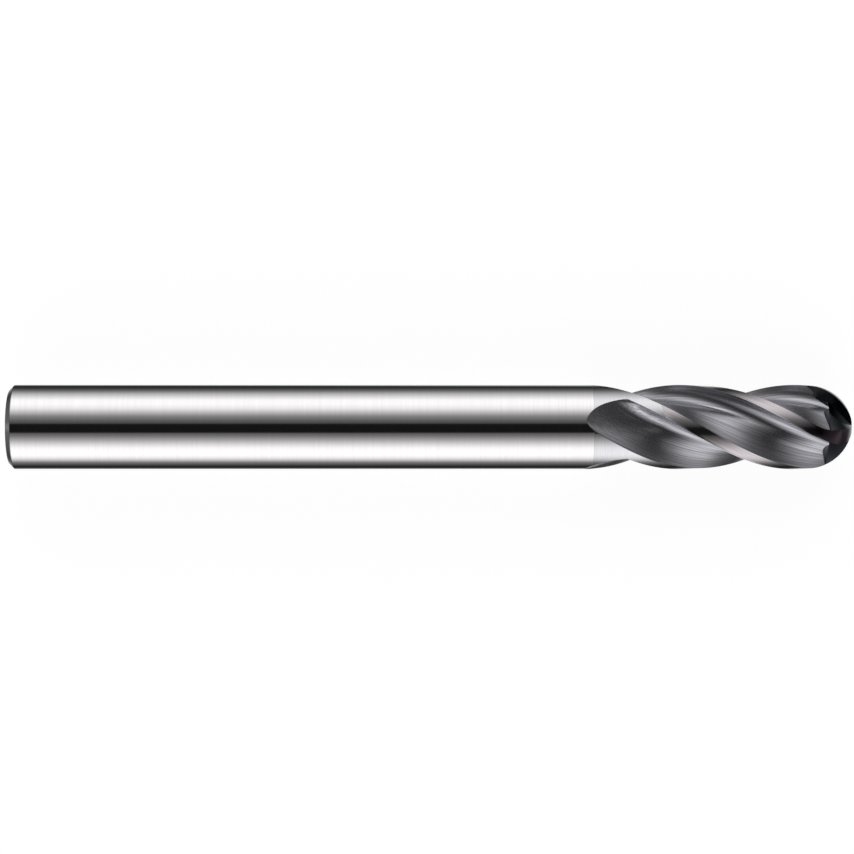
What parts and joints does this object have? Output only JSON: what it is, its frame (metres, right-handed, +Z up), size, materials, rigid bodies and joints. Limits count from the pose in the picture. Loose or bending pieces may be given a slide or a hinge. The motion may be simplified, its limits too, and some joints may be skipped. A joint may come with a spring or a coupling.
{
  "type": "ball nose end mill",
  "caption": "Long-series ball-nose end mill: plain ground shank with a brazed, helically fluted and coated cutting head.",
  "frame": {"origin": "centre of the flat back end face of the shank", "axes": "+X along the tool axis from the back end to the tip of the ball, +Z up, +Y completes the right-handed frame"},
  "size_m": [0.1, 0.01, 0.01],
  "materials": {
    "ground_steel": "mirror-ground, hardened",
    "silver_braze": "ground flush",
    "coated_carbide": "ground, dark thin-film coating"
  },
  "bodies": {
    "root": {"shank": "ground_steel", "braze_joint": "silver_braze", "cutting_head": "coated_carbide"}
  },
  "joints": []
}
